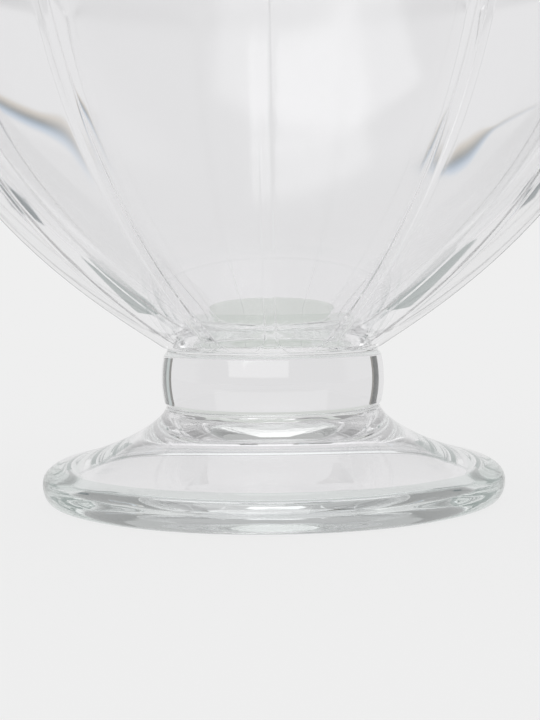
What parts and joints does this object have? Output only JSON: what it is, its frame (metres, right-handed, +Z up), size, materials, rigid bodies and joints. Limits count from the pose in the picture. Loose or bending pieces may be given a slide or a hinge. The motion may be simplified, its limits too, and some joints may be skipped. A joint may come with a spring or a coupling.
{
  "type": "stemmed dessert bowl",
  "caption": "Clear pressed-glass dessert bowl: a panelled, ribbed bowl on a short barrel-shaped stem and a flared foot with a rounded edge and a hollow underside.",
  "frame": {"origin": "middle of the ring that the foot rests on, at table height", "axes": "+Z up along the axis of the stem and bowl; -Y towards the rib that faces the front"},
  "size_m": [0.128, 0.128, 0.097],
  "materials": {
    "bowl": "clear, fire-polished",
    "upper_wafer": "clear, fire-polished",
    "stem_knop": "clear, fire-polished",
    "lower_wafer": "clear, fire-polished",
    "foot": "clear with a faint green edge, fire-polished"
  },
  "bodies": {
    "root": {"bowl": "bowl", "upper_wafer": "upper_wafer", "stem_knop": "stem_knop", "lower_wafer": "lower_wafer", "foot": "foot"}
  },
  "joints": []
}
